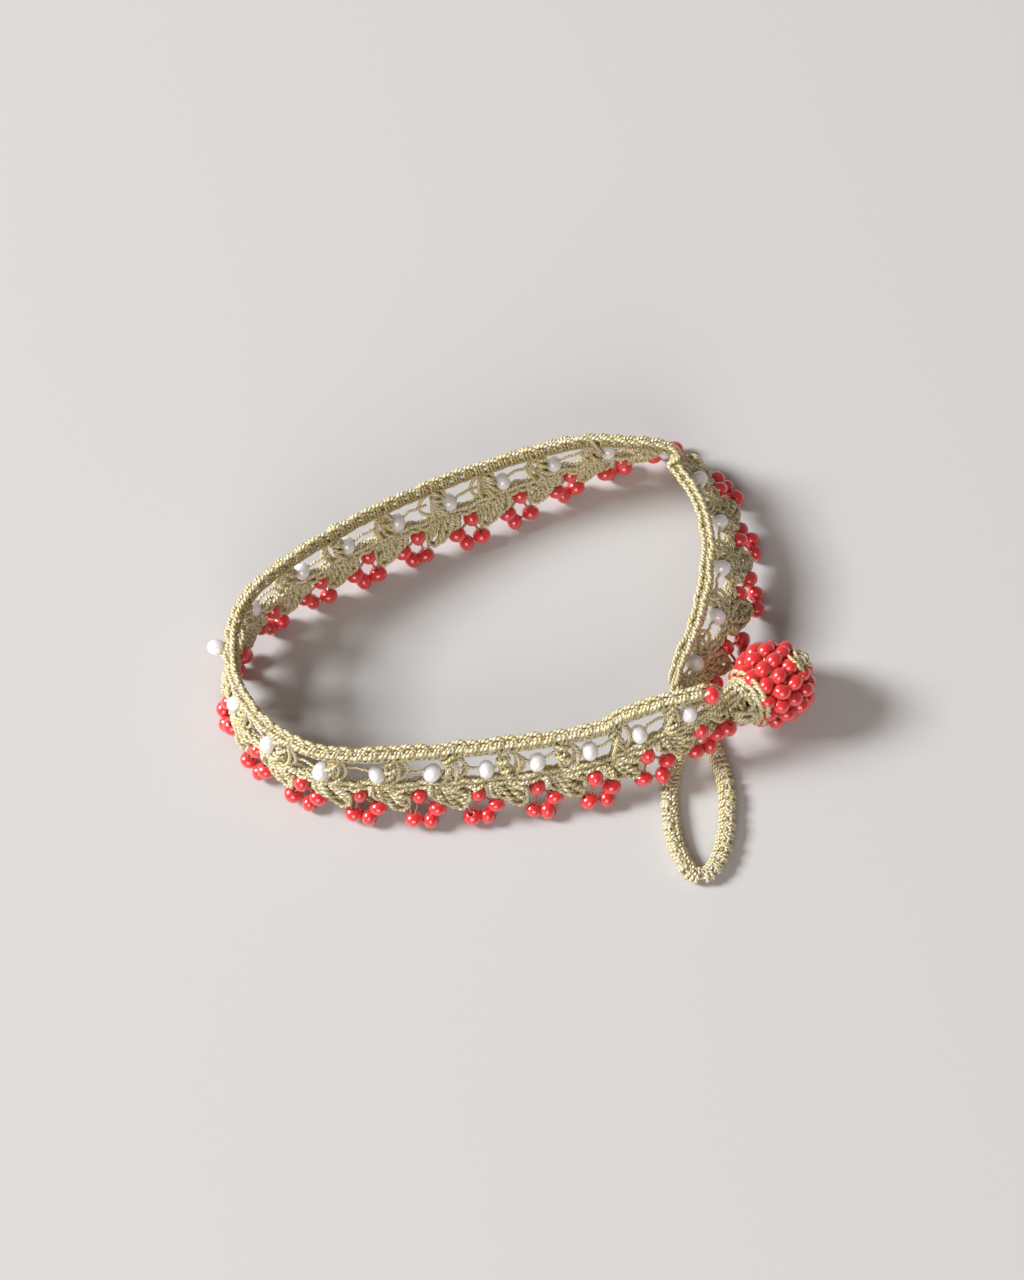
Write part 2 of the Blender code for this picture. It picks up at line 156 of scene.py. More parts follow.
def smooth_rows(rows):
    """The route's rows, joined by a cubic whose slope at a row is that of its neighbours."""
    rows = np.array(rows)
    slopes = np.gradient(rows, axis=0)
    t = np.linspace(0.0, 1.0, ROUTE_SAMPLES, endpoint=False)[None, :, None]
    runs = (
        (2 * t**3 - 3 * t**2 + 1) * rows[:-1, None]
        + (t**3 - 2 * t**2 + t) * slopes[:-1, None]
        + (3 * t**2 - 2 * t**3) * rows[1:, None]
        + (t**3 - t**2) * slopes[1:, None]
    )
    return np.vstack([runs.reshape(-1, rows.shape[1]), rows[-1:]])


def unit_vectors(vectors):
    """Each vector at length one."""
    return vectors / np.linalg.norm(vectors, axis=-1, keepdims=True)


dense = smooth_rows(ROUTE)
low_line = dense[:, :3] * [1.0, 1.0, LOOP_STRAND_HEIGHT] + [0.0, 0.0, BEAD_DIAMETER / 2]
ahead = unit_vectors(np.gradient(low_line[:, :2], axis=0))
lean = np.radians(dense[:, 3])
across = np.stack([ahead[:, 1] * np.sin(lean), -ahead[:, 0] * np.sin(lean), np.cos(lean)], axis=1)
slide = np.pad(ahead, ((0, 0), (0, 1))) * dense[:, 5:] * PLAN_PITCH
high_line = low_line + across * (BAND_WIDTH * dense[:, 4:5]) + slide
middle_line = (low_line + high_line) / 2
walked = np.concatenate([[0.0], np.cumsum(np.linalg.norm(np.diff(middle_line, axis=0), axis=1))])
LENGTH = walked[-1]
PITCH = LENGTH / UNITS
run_line = np.gradient(low_line, walked, axis=0)


def read_line(table, distance):
    """A line's point at each distance along the band."""
    return np.stack([np.interp(distance, walked, table[:, i]) for i in range(3)], axis=-1)


def strip_frame(distance):
    """Cord point, lowest bead point, and the unit vectors along, down and out of the outer face."""
    held = np.clip(distance, 0.0, LENGTH)
    high = read_line(high_line, held)
    low = read_line(low_line, held)
    down = unit_vectors(low - high)
    along = read_line(run_line, held)
    along = unit_vectors(along - down * (along * down).sum(-1, keepdims=True))
    past = (distance - held)[..., None] * along
    return high + past, low + past, along, down, np.cross(along, down)


def strip(distance, depth, lift):
    """Points in metres from a distance along the band, a depth below the cord and a lift out of
    the outer face. Where the strip is narrower, the lace closes up and scallops keep their size.
    Handwork is never quite even, so slow waves a tenth of a millimetre high run through it, and
    less through its cord."""
    distance, depth, lift = (part.astype(float) for part in np.broadcast_arrays(distance, depth, lift))
    high, low, _, down, out = strip_frame(distance)
    narrowed = BAND_WIDTH - np.linalg.norm(low - high, axis=-1)
    depth = depth - narrowed * np.clip(depth / RAIL_DEPTH, 0.0, 1.0)
    loose = np.clip(depth / RAIL_DEPTH, 0.3, 1.0)
    depth_wave = 0.10 * np.sin(1.31 * distance + 0.7) + 0.07 * np.sin(2.87 * distance + 2.0)
    depth = depth + loose * depth_wave
    lift_wave = 0.14 * np.sin(0.93 * distance + 0.8 * depth) + 0.08 * np.sin(2.3 * distance - depth)
    lift = lift + loose * lift_wave
    return (high + down * depth[..., None] + out * lift[..., None] + ORIGIN) * MM


# The foundation cord. It is the first chain of the crochet: plump V-shaped loops run along its
# top and outer side, and each loop's back makes a small block of threads on the inner side,
# with an open slit before the next. Long threads run under it on both faces and inside it.
TWIST_TURN = 0.9


def sleeve_mesh(name, rings, far):
    """Closed sleeves through rings of points. rings is (sleeve, ring, side, xyz), far is
    (sleeve, ring), and each end closes on a point at its ring's middle. The map's first value
    goes round the sleeve and its second value is far."""
    count, length, sides = rings.shape[:3]
    ends = rings[:, [0, -1]].mean(axis=2)
    points = np.concatenate([rings.reshape(count, -1, 3), ends], axis=1)
    per = length * sides + 2
    base = (np.arange(count) * per)[:, None, None]
    ring = (np.arange(length - 1) * sides)[None, :, None]
    side = np.arange(sides)[None, None, :]
    following = (side + 1) % sides
    start = base + ring
    end = start + sides
    quads = np.stack([start + side, start + following, end + following, end + side], axis=-1)
    quads = quads.reshape(-1, 4)
    first = base[:, 0] + side[0]
    second = base[:, 0] + following[0]
    tail = (length - 1) * sides
    pole = np.broadcast_to(base[:, 0] + length * sides, first.shape)
    caps = np.concatenate(
        [
            np.stack([second, first, pole], axis=-1).reshape(-1, 3),
            np.stack([first + tail, second + tail, pole + 1], axis=-1).reshape(-1, 3),
        ]
    )
    mesh = bpy.data.meshes.new(name)
    mesh.vertices.add(count * per)
    mesh.vertices.foreach_set("co", points.reshape(-1).astype(np.float32))
    corners = np.concatenate([quads.reshape(-1), caps.reshape(-1)])
    mesh.loops.add(len(corners))
    mesh.loops.foreach_set("vertex_index", corners.astype(np.int32))
    mesh.polygons.add(len(quads) + len(caps))
    face_sizes = np.concatenate([np.full(len(quads), 4), np.full(len(caps), 3)])
    face_starts = np.concatenate([[0], np.cumsum(face_sizes)[:-1]])
    mesh.polygons.foreach_set("loop_start", face_starts.astype(np.int32))
    mesh.update(calc_edges=True)
    mesh.validate()
    shape = (count, length - 1, sides, 4)
    turn = np.broadcast_to(np.stack([side, side + 1, side + 1, side], axis=-1) / sides, shape)
    near = far[:, :-1, None, None]
    beyond = far[:, 1:, None, None]
    run = np.concatenate([near, near, beyond, beyond], axis=-1)
    quad_map = np.stack([turn, np.broadcast_to(run, shape)], axis=-1).reshape(-1)
    whole_map = np.concatenate([quad_map, np.zeros(caps.size * 2)])
    mesh.uv_layers.new(name="UVMap").data.foreach_set("uv", whole_map.astype(np.float32))
    add_own_shade(mesh, count, per)
    mesh.shade_smooth()
    return mesh


def add_own_shade(mesh, count, per):
    """Gives each strand or bead in the mesh a chance value from 0 to 1 of its own."""
    shade = np.repeat(random.random(count), per)
    mesh.attributes.new("own", "FLOAT", "POINT").data.foreach_set("value", shade.astype(np.float32))


def strand_rings(paths, radius, sides):
    """Round rings along each path, (strand, point, xyz) in metres, with a radius in mm. Each ring
    stands square to its path, turned from the direction that the whole path keeps clear of, and
    the last ring at each end is smaller, so that the end is rounded."""
    tangent = unit_vectors(np.gradient(paths, axis=1) + 1e-12)
    spread = np.einsum("mni,mnj->mij", tangent, tangent)
    clear = np.linalg.eigh(spread)[1][:, :, 0][:, None]
    first = unit_vectors(clear - tangent * (tangent * clear).sum(-1, keepdims=True))
    second = np.cross(tangent, first)
    turn = 2 * np.pi * np.arange(sides) / sides
    reach = np.broadcast_to(np.asarray(radius, float) * MM, paths.shape[:2]).copy()
    reach[:, [0, -1]] *= 0.6
    wheel = first[:, :, None] * np.cos(turn)[:, None] + second[:, :, None] * np.sin(turn)[:, None]
    return paths[:, :, None] + reach[:, :, None, None] * wheel


def add_piece(name, meshes, finish):
    """A named object of one or more meshes joined into one, riding on the bracelet."""
    made = [bpy.data.objects.new(name, mesh) for mesh in meshes]
    for each in made:
        each.data.materials.append(finish)
        bpy.context.scene.collection.objects.link(each)
    if len(made) > 1:
        chosen = {"active_object": made[0], "object": made[0], "selected_editable_objects": made}
        with bpy.context.temp_override(**chosen):
            bpy.ops.object.join()
    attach(made[0], "root")
    return made[0]


def add_strands(name, groups, finish):
    """One piece of round strands, from groups of (paths, radius, sides). A group's paths may be
    of any shape that ends in (point, xyz). The map's second value counts the thread's twist."""
    meshes = []
    for paths, radius, sides in groups:
        paths = paths.reshape(-1, *paths.shape[-2:])
        steps = np.linalg.norm(np.diff(paths, axis=1), axis=2) / MM / TWIST_TURN
        far = np.pad(np.cumsum(steps, axis=1), ((0, 0), (1, 0))) + random.random((len(paths), 1))
        meshes.append(sleeve_mesh(name, strand_rings(paths, radius, sides), far))
    return add_piece(name, meshes, finish)


def twist_group():
    """A group for twisted thread: two plies wind round it, so ridges and grooves run slantwise
    across each strand. The finish raises the ridges as a bump and darkens the grooves as painted
    shade. It reads the strand's own map."""
    group = bpy.data.node_groups.new("thread_twist", "ShaderNodeTree")
    group.interface.new_socket("Ridge", in_out="OUTPUT", socket_type="NodeSocketFloat")
    group.interface.new_socket("Variation", in_out="OUTPUT", socket_type="NodeSocketFloat")
    nodes, links = group.nodes, group.links
    leave = nodes.new("NodeGroupOutput")
    place = nodes.new("ShaderNodeUVMap")
    place.uv_map = "UVMap"
    split = nodes.new("ShaderNodeSeparateXYZ")
    links.new(place.outputs["UV"], split.inputs[0])
    total = nodes.new("ShaderNodeMath")
    total.operation = "ADD"
    links.new(split.outputs["X"], total.inputs[0])
    links.new(split.outputs["Y"], total.inputs[1])
    turns = nodes.new("ShaderNodeMath")
    turns.operation = "MULTIPLY"
    turns.inputs[1].default_value = 4 * math.pi
    links.new(total.outputs[0], turns.inputs[0])
    wave = nodes.new("ShaderNodeMath")
    wave.operation = "SINE"
    links.new(turns.outputs[0], wave.inputs[0])
    ridge = nodes.new("ShaderNodeMapRange")
    ridge.inputs["From Min"].default_value = -1.0
    links.new(wave.outputs[0], ridge.inputs["Value"])
    links.new(ridge.outputs["Result"], leave.inputs["Ridge"])
    own = nodes.new("ShaderNodeAttribute")
    own.attribute_name = "own"
    links.new(own.outputs["Fac"], leave.inputs["Variation"])
    return group


thread_twist = twist_group()


def thread_finish(name, pale, deep, groove_shade):
    """Glossy twisted thread: pale on its ridges and a little different on each strand, with painted
    shade in its grooves, where the colour darkens towards the groove shade colour."""
    material = bpy.data.materials.new(name)
    material.use_nodes = True
    nodes, links = material.node_tree.nodes, material.node_tree.links
    shader = nodes["Principled BSDF"]
    shader.inputs["Roughness"].default_value = 0.36
    shader.inputs["IOR"].default_value = 1.9
    shader.inputs["Specular IOR Level"].default_value = 0.8
    shader.inputs["Subsurface Weight"].default_value = 0.4
    shader.inputs["Subsurface Radius"].default_value = (1.0, 0.85, 0.45)
    shader.inputs["Subsurface Scale"].default_value = 1.0 * MM
    twist = nodes.new("ShaderNodeGroup")
    twist.node_tree = thread_twist
    tone = nodes.new("ShaderNodeMix")
    tone.data_type = "RGBA"
    tone.inputs["A"].default_value = (*deep, 1.0)
    tone.inputs["B"].default_value = (*pale, 1.0)
    links.new(twist.outputs["Variation"], tone.inputs["Factor"])
    # The grooves are painted shade: where the twist's ridge is low, the colour darkens towards the
    # groove shade colour.
    groove_shade_mix = nodes.new("ShaderNodeMix")
    groove_shade_mix.data_type = "RGBA"
    groove_shade_mix.inputs["A"].default_value = (*groove_shade, 1.0)
    reach = nodes.new("ShaderNodeMapRange")
    reach.inputs["To Min"].default_value = 0.06
    links.new(twist.outputs["Ridge"], reach.inputs["Value"])
    links.new(reach.outputs["Result"], groove_shade_mix.inputs["Factor"])
    links.new(tone.outputs["Result"], groove_shade_mix.inputs["B"])
    links.new(groove_shade_mix.outputs["Result"], shader.inputs["Base Color"])
    bump = nodes.new("ShaderNodeBump")
    bump.inputs["Strength"].default_value = 1.0
    bump.inputs["Distance"].default_value = 0.11 * MM
    links.new(twist.outputs["Ridge"], bump.inputs["Height"])
    links.new(bump.outputs["Normal"], shader.inputs["Normal"])
    return material


# The last colour of each thread is the painted shade of its grooves.
lace_thread = thread_finish("lace_thread", (0.97, 0.90, 0.73), (0.89, 0.79, 0.49), (0.52, 0.385, 0.06))
# A darker olive copy of the lace thread: painted shade for the blocks on the cord's inner side, which
# lie in shade.
painted_shade_back_thread = thread_finish("painted_shade_back_thread", (0.62, 0.51, 0.20), (0.50, 0.40, 0.13), (0.26, 0.18, 0.03))
# A still darker olive copy of the lace thread: painted shade for the cores of the ball and the loop,
# deep under their stitches.
painted_shade_core_thread = thread_finish("painted_shade_core_thread", (0.50, 0.39, 0.13), (0.38, 0.28, 0.08), (0.19, 0.12, 0.03))


def braid(first, count, step, wide, high, place):
    """A row of chain stitches, each a V of two strands. They come up from under the stitch before,
    part, and dive again at the V's open end: aside = +-wide sin(0.72 pi t^0.75), height = high
    sin(pi t)^0.7 less a dip at each end. place turns (along, aside, height) into points."""
    t = np.linspace(0.0, 1.0, 10)
    start = first + step * np.arange(count)[:, None, None]
    side = np.array([-1.0, 1.0])[None, :, None]
    wobble = random.normal(0.0, 0.08, (count, 2, 1))
    along = start + 1.5 * step * t + wobble * step
    aside = side * wide * (1.0 + 1.5 * wobble) * np.sin(0.72 * np.pi * t**0.75)
    height = high * (1.0 + 3 * wobble) * np.sin(np.pi * t) ** 0.7 - 0.35 * t**4 - 0.15 * (1.0 - t) ** 4
    return place(along, aside, height)


CHAIN_STEP = 1.46
CHAIN_WIDE = 0.50
CHAIN_HIGH = 0.28
CHAIN_TURN = math.radians(38)
CORD_HALF = 0.30
PLUMP_THREAD = 0.27
CORD_THREAD = 0.20
LONG_THREADS = [[0.17], [0.17], [0.28]]
BLOCK_HALF = 0.30
chain_count = int((LENGTH - 1.2) / CHAIN_STEP)


def on_cord(s, aside, height):
    """Points on the cord's upper outer side, at a height over the cord's own half thickness."""
    height = CORD_HALF + height
    depth = aside * math.sin(CHAIN_TURN) - height * math.cos(CHAIN_TURN)
    return strip(s, depth, aside * math.cos(CHAIN_TURN) + height * math.sin(CHAIN_TURN))


chain = braid(0.1, chain_count, CHAIN_STEP, CHAIN_WIDE, CHAIN_HIGH, on_cord)
t = np.linspace(0.0, 1.0, 10)
stitch_at = 0.9 + CHAIN_STEP * np.arange(chain_count)[:, None, None]
block = np.array([-BLOCK_HALF, 0.0, BLOCK_HALF])[None, :, None]
block_tilt = random.normal(0.0, 0.10, (chain_count, 3, 1))
blocks = strip(
    stitch_at + block * (1.0 + 0.3 * np.sin(np.pi * t)) + block_tilt * (t - 0.5),
    -0.50 + 1.30 * t,
    -0.22 - 0.32 * np.sin(np.pi * t),
)
half_step = 0.3 + CHAIN_STEP / 2 * np.arange(2 * chain_count)[:, None]
hook_drift = random.normal(0.0, 0.08, half_step.shape)
hooks = strip(half_step + 0.5 * t + hook_drift, 0.10 + 0.85 * t, 0.30 + 0.2 * np.sin(np.pi * t))
long_run = np.linspace(0.0, LENGTH, 560)
under_rows = np.stack(
    [
        strip(long_run, 0.88 + 0.05 * np.sin(4.3 * long_run), 0.30),
        strip(long_run, 0.78 + 0.05 * np.sin(4.3 * long_run), -0.30),
        strip(long_run, -0.15, 0.12),
    ]
)
cord = add_strands(
    "foundation_cord",
    [(chain, PLUMP_THREAD, 7), (hooks, CORD_THREAD, 6), (under_rows, LONG_THREADS, 7)],
    lace_thread,
)
# The blocks on the cord's inner side are drawn in the darker olive thread, as painted shade.
cord_backs = add_strands("cord_backs", [(blocks, CORD_THREAD, 6)], painted_shade_back_thread)
for piece in (cord, cord_backs):
    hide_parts("lace_band")

# The posts between the windows. In each, two tall stitches are thick ropes side by side with
# the hook's wraps knotted over them, and beside them a few slack loops bow out into the window.
POST_POINTS = 18
END_POST_INSET = 1.4
ROPE_PLACES = (0.80, 0.20)
ROPE_RADIUS = 0.22
ROPE_TURNS = 1.6
ROPE_THREAD = 0.24
WRAP_THREAD = 0.23
SLACK_THREAD = 0.22
t = np.linspace(0.0, 1.0, POST_POINTS)
post_at = np.clip(PITCH * np.arange(UNITS + 1), END_POST_INSET, LENGTH - END_POST_INSET)[:, None, None]
post_top = 0.65
post_bottom = WINDOW_BOTTOM + 0.45
flare = (2 * t - 1) ** 2


def post_strands(offset, radius, turns, plies):
    """Plies that wind round each other down each of some columns, (post, column, ply, point)."""
    offset = np.asarray(offset)[None, :, None, None]
    shape = (UNITS + 1, offset.shape[1], 1, 1)
    tilt = random.normal(0.0, 0.20, shape)
    bow = random.normal(0.0, 0.18, shape)
    wound = 2 * np.pi * (np.arange(plies)[:, None] / plies + turns * t + random.random(shape))
    s = post_at[..., None] + offset * (1.0 + 0.35 * flare)
    s = s + tilt * (2 * t - 1) + bow * np.sin(np.pi * t)
    depth = post_top + (post_bottom - post_top) * t
    return strip(s + radius * np.cos(wound), depth, radius * np.sin(wound))


ropes = post_strands(ROPE_PLACES, ROPE_RADIUS, ROPE_TURNS, 2)
w = np.linspace(-0.05, 1.0, 12)
wraps_per_post = 4
wrap_shape = (UNITS + 1, wraps_per_post, 1)
wrap_share = (np.arange(wraps_per_post)[None, :, None] + 0.4) / wraps_per_post
wrap_share = wrap_share + random.normal(0.0, 0.06, wrap_shape)
wrap_slant = random.normal(0.55, 0.40, wrap_shape)
wrap_wide = random.normal(0.60, 0.09, wrap_shape)
wraps = strip(
    post_at + 0.60 + random.normal(0.0, 0.18, wrap_shape) + wrap_wide * np.cos(2 * np.pi * w),
    post_top + (post_bottom - post_top) * wrap_share + wrap_slant * np.cos(2 * np.pi * w),
    wrap_wide * np.sin(2 * np.pi * w),
)
loops_per_post = 3
loop_shape = (UNITS + 1, loops_per_post, 1)
bulge = np.array([0.5, 0.9, 1.35])[None, :, None] + random.normal(0.0, 0.18, loop_shape)
loop_start = random.normal(0.0, 0.18, loop_shape)
loop_reach = 2.9 + 0.9 * random.random(loop_shape)
slack_loops = strip(
    post_at - 0.05 + loop_start - bulge * np.sin(np.pi * t) ** 0.7,
    post_top + 0.6 * random.random(loop_shape) + loop_reach * t,
    np.array([0.45, -0.40, 0.20])[None, :, None] * np.sin(np.pi * t) ** 0.5,
)
posts = add_strands(
    "window_posts",
    [(ropes, ROPE_THREAD, 6), (wraps, WRAP_THREAD, 6), (slack_loops, SLACK_THREAD, 6)],
    lace_thread,
)
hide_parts("lace_band")

# The rail under the windows. It is a row of single stitches worked along the whole band, with
# its loops lying in a braid on both faces.
RAIL_STEP = 1.25
RAIL_WIDE = 0.42
RAIL_HIGH = 0.26
RAIL_FACE = 0.20
RAIL_THREAD = 0.24
RAIL_CORE = 0.30
rail_count = int((LENGTH - 1.6) / RAIL_STEP)
rail_middle = (WINDOW_BOTTOM + RAIL_DEPTH) / 2


def rail_braid(first, facing):
    """The braid on the rail's outer face, where facing is 1, or its inner face, where it is -1."""

    def on_rail(s, aside, height):
        """Points on that face."""
        return strip(s, rail_middle + aside, facing * (RAIL_FACE + height))

    return braid(first, rail_count, RAIL_STEP, RAIL_WIDE, RAIL_HIGH, on_rail)


rail_outer = rail_braid(0.2, 1.0)
rail_inner = rail_braid(0.7, -1.0)
rail_run = strip(long_run, rail_middle + 0.08 * np.sin(3.1 * long_run), 0.0)[None]
rail = add_strands(
    "rail",
    [(rail_outer, RAIL_THREAD, 6), (rail_inner, RAIL_THREAD, 6), (rail_run, RAIL_CORE, 8)],
    lace_thread,
)
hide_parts("lace_band")

# The scallops of the lower edge. Each is a fan of long stitches that starts at the rail and
# slants down along the band. Every long stitch is two plies of thread wound round each other,
# and two layers of them lie one behind the other.
SCALLOP_ROOM = BAND_WIDTH - RAIL_DEPTH
SCALLOP_EDGE = np.array(
    [
        # along from the post's middle mm, depth as a share of the room under the rail
        (2.55, 0.20),
        (1.60, 0.36),
        (0.60, 0.50),
        (-0.40, 0.63),
        (-1.05, 0.68),
        (-1.55, 0.58),
        (-1.75, 0.36),
        (-1.70, 0.14),
    ]
)
edge_steps = np.hypot(*np.diff(SCALLOP_EDGE * [1.0, SCALLOP_ROOM], axis=0).T)
edge_walk = np.concatenate([[0.0], np.cumsum(edge_steps)]) / edge_steps.sum()


def scallop_edge(share):
    """Along and depth of the lower edge at a share of its length."""
    along = np.interp(share, edge_walk, SCALLOP_EDGE[:, 0])
    return along, RAIL_DEPTH + SCALLOP_ROOM * np.interp(share, edge_walk, SCALLOP_EDGE[:, 1])


FAN = 5
FAN_TURNS = 2.2
FAN_THREAD = 0.23
EDGE_THREAD = 0.24
PLY_WIDE = 0.18
PLY_DEEP = 0.24
START_SCALLOP_INSET = 1.9
END_SCALLOP_INSET = 2.4
t = np.linspace(0.0, 1.0, 15)
scallop_at = np.clip(PITCH * np.arange(UNITS + 1), START_SCALLOP_INSET, LENGTH - END_SCALLOP_INSET)
layer = np.array([1.0, -1.0])[None, :, None, None, None]
share = np.linspace(0.05, 0.95, FAN)[None, None, :, None, None] - 0.03 * layer
fan_shape = (UNITS + 1, 2, FAN, 1, 1)
share = np.clip(share + random.normal(0.0, 0.03, fan_shape), 0.0, 1.0)
tip_s, tip_depth = scallop_edge(share)
root_s = 2.6 - 2.3 * share
root_depth = RAIL_DEPTH - 0.30
wound = 2 * np.pi * (np.array([0.0, 0.5])[:, None] + FAN_TURNS * t + random.random(fan_shape))
sag = random.normal(0.10, 0.14, fan_shape) * np.sin(np.pi * t)
fan_s = scallop_at[:, None, None, None, None] + root_s + (tip_s - root_s) * t + PLY_WIDE * np.cos(wound)
fan_depth = root_depth + (tip_depth - root_depth) * t + sag + PLY_WIDE * np.cos(wound)
fan_bulge = (0.10 + 0.30 * np.sin(np.pi * t) ** 0.5) * (1.0 + random.normal(0.0, 0.35, fan_shape))
fans = strip(fan_s, fan_depth, layer * fan_bulge + PLY_DEEP * np.sin(wound))
EDGE_LOOPS = 6
loop_t = np.linspace(0.0, 1.0, 9)
edge_share = (np.arange(EDGE_LOOPS)[:, None, None] + 1.5 * loop_t) / (EDGE_LOOPS + 0.5)
edge_side = np.array([-1.0, 1.0])[None, :, None]
edge_s, edge_depth = scallop_edge(edge_share)
edges = strip(
    scallop_at[:, None, None, None] + edge_s + random.normal(0.0, 0.06, (UNITS + 1, EDGE_LOOPS, 2, 1)),
    edge_depth + 0.05 + 0.15 * np.sin(np.pi * loop_t),
    edge_side * 0.30 * np.sin(np.pi * loop_t) ** 0.8,
)
scallops = add_strands("scallops", [(fans, FAN_THREAD, 6), (edges, EDGE_THREAD, 6)], lace_thread)
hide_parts("lace_band")

# The white beads in the windows. Each is a seed bead, a round glass drop with a fine hole. It
# hangs on its own thread, drawn from post to post, and has slid along it towards one side. One
# of them has come out to the band's outer side.
HOLE_RADIUS = 0.30
LIP_ALLOWANCE = 1.06
BEAD_SIDES = 14


def beads_mesh(name, places, holes, size=1.0):
    """Seed beads, (bead, xyz) places in metres and hole directions. The outline of a bead is
    radius = half width cos(a), height = half length sin(a), cut off at the hole's wall. The
    allowance makes up for the length that is cut off."""
    half_width = size * BEAD_DIAMETER / 2
    half_length = size * BEAD_LENGTH / 2 * LIP_ALLOWANCE
    lip = math.acos(HOLE_RADIUS / half_width)
    angle = lip * np.array([-1.0, -0.88, -0.56, -0.20, 0.20, 0.56, 0.88, 1.0])
    radius = half_width * np.cos(angle)
    height = half_length * np.sin(angle)
    sides = BEAD_SIDES
    length = len(radius)
    around = 2 * np.pi * np.arange(sides) / sides
    holes = unit_vectors(np.asarray(holes, float))
    helper = np.where(np.abs(holes[:, 2:]) < 0.8, [[0.0, 0.0, 1.0]], [[1.0, 0.0, 0.0]])
    first = unit_vectors(np.cross(helper, holes))
    second = np.cross(holes, first)
    spoke = first[:, None] * np.cos(around)[:, None] + second[:, None] * np.sin(around)[:, None]
    grid = spoke[:, :, None] * radius[:, None] + holes[:, None, None] * height[:, None]
    swell = 1.0 + random.normal(0.0, 0.025, (len(holes), 1, 1, 1))
    points = np.asarray(places)[:, None, None] + grid * swell * MM
    count = len(points)
    per = sides * length
    base = (np.arange(count) * per)[:, None, None]
    side = np.arange(sides)[None, :, None] * length
    beside = ((np.arange(sides) + 1) % sides)[None, :, None] * length
    row = np.arange(length)[None, None, :]
    above = (row + 1) % length
    quads = np.stack([side + row, beside + row, beside + above, side + above], axis=-1)
    quads = quads + base[..., None]
    mesh = bpy.data.meshes.new(name)
    mesh.vertices.add(count * per)
    mesh.vertices.foreach_set("co", points.reshape(-1).astype(np.float32))
    mesh.loops.add(quads.size)
    mesh.loops.foreach_set("vertex_index", quads.reshape(-1).astype(np.int32))
    mesh.polygons.add(quads.size // 4)
    mesh.polygons.foreach_set("loop_start", np.arange(0, quads.size, 4, dtype=np.int32))
    mesh.update(calc_edges=True)
    mesh.validate()
    add_own_shade(mesh, count, per)
    mesh.shade_smooth()
    return mesh


def glass_finish(name, body, deep, rim_sheen, glow, glow_radius):
    """Lustred bead glass: an even body colour that differs a little from bead to bead, a paler
    rim where it is seen edge on that is painted sheen, light let a little way in, and a clear gloss
    over it."""
    material = bpy.data.materials.new(name)
    material.use_nodes = True
    nodes, links = material.node_tree.nodes, material.node_tree.links
    shader = nodes["Principled BSDF"]
    shader.inputs["Roughness"].default_value = 0.3
    shader.inputs["Specular IOR Level"].default_value = 0.9
    shader.inputs["Coat Weight"].default_value = 1.0
    shader.inputs["Coat Roughness"].default_value = 0.12
    shader.inputs["Coat IOR"].default_value = 1.6
    shader.inputs["Subsurface Weight"].default_value = glow
    shader.inputs["Subsurface Radius"].default_value = glow_radius
    shader.inputs["Subsurface Scale"].default_value = 1.5 * MM
    own = nodes.new("ShaderNodeAttribute")
    own.attribute_name = "own"
    tone = nodes.new("ShaderNodeMix")
    tone.data_type = "RGBA"
    tone.inputs["A"].default_value = (*deep, 1.0)
    tone.inputs["B"].default_value = (*body, 1.0)
    links.new(own.outputs["Fac"], tone.inputs["Factor"])
    # The paler rim is painted sheen: the colour turns towards the rim colour where the bead is seen
    # edge on.
    sheen_facing = nodes.new("ShaderNodeLayerWeight")
    sheen_facing.inputs["Blend"].default_value = 0.22
    pale = nodes.new("ShaderNodeMix")
    pale.data_type = "RGBA"
    pale.inputs["B"].default_value = (*rim_sheen, 1.0)
    links.new(sheen_facing.outputs["Facing"], pale.inputs["Factor"])
    links.new(tone.outputs["Result"], pale.inputs["A"])
    links.new(pale.outputs["Result"], shader.inputs["Base Color"])
    return material


pearl = glass_finish(
    "pearl_bead", (0.88, 0.87, 0.89), (0.82, 0.81, 0.84), (0.97, 0.96, 0.97), 1.0, (1.0, 1.0, 1.0)
)
WHITE_SIZE = 1.08
WHITE_DEPTH = 3.0
SLID_TO_START = 1.4
SLIDE_TURNS_AT = 3
OUTSIDE_UNIT = 10
OUTSIDE_LIFT = 1.9
INSIDE_LIFT = 0.1
HANG_REACH = 2.4
HANG_THREAD = 0.18
unit_number = np.arange(UNITS)
unit_at = PITCH * (unit_number + 0.5)
slide_way = np.clip((unit_number - SLIDE_TURNS_AT) / 3, -1.0, 1.0)
slid = -SLID_TO_START * slide_way + random.normal(0.0, 0.2, UNITS)
white_depth = WHITE_DEPTH + random.normal(0.0, 0.15, UNITS)
white_lift = np.where(unit_number == OUTSIDE_UNIT, OUTSIDE_LIFT, INSIDE_LIFT)
_, unit_low, band_along, band_down, band_out = strip_frame(unit_at)
white_holes = band_along + 0.3 * random.normal(0.0, 1.0, (UNITS, 1)) * band_down
white_places = strip(unit_at + slid, white_depth, white_lift)
white_mesh = beads_mesh("white_beads", white_places, white_holes, WHITE_SIZE)
whites = add_piece("white_beads", [white_mesh], pearl)
t = np.linspace(-1.0, 1.0, 24)
hang_s = unit_at[:, None] + t * HANG_REACH
near = np.exp(-((hang_s - (unit_at + slid)[:, None]) ** 2) / 1.6)
hang_top = random.normal(2.3, 0.3, (UNITS, 1))
hang_depth = hang_top + (white_depth[:, None] - hang_top) * near + 0.06 * np.sin(5 * hang_s)
hang_paths = strip(hang_s, hang_depth, white_lift[:, None] * near)
hang_threads = add_strands("white_bead_threads", [(hang_paths, HANG_THREAD, 7)], lace_thread)

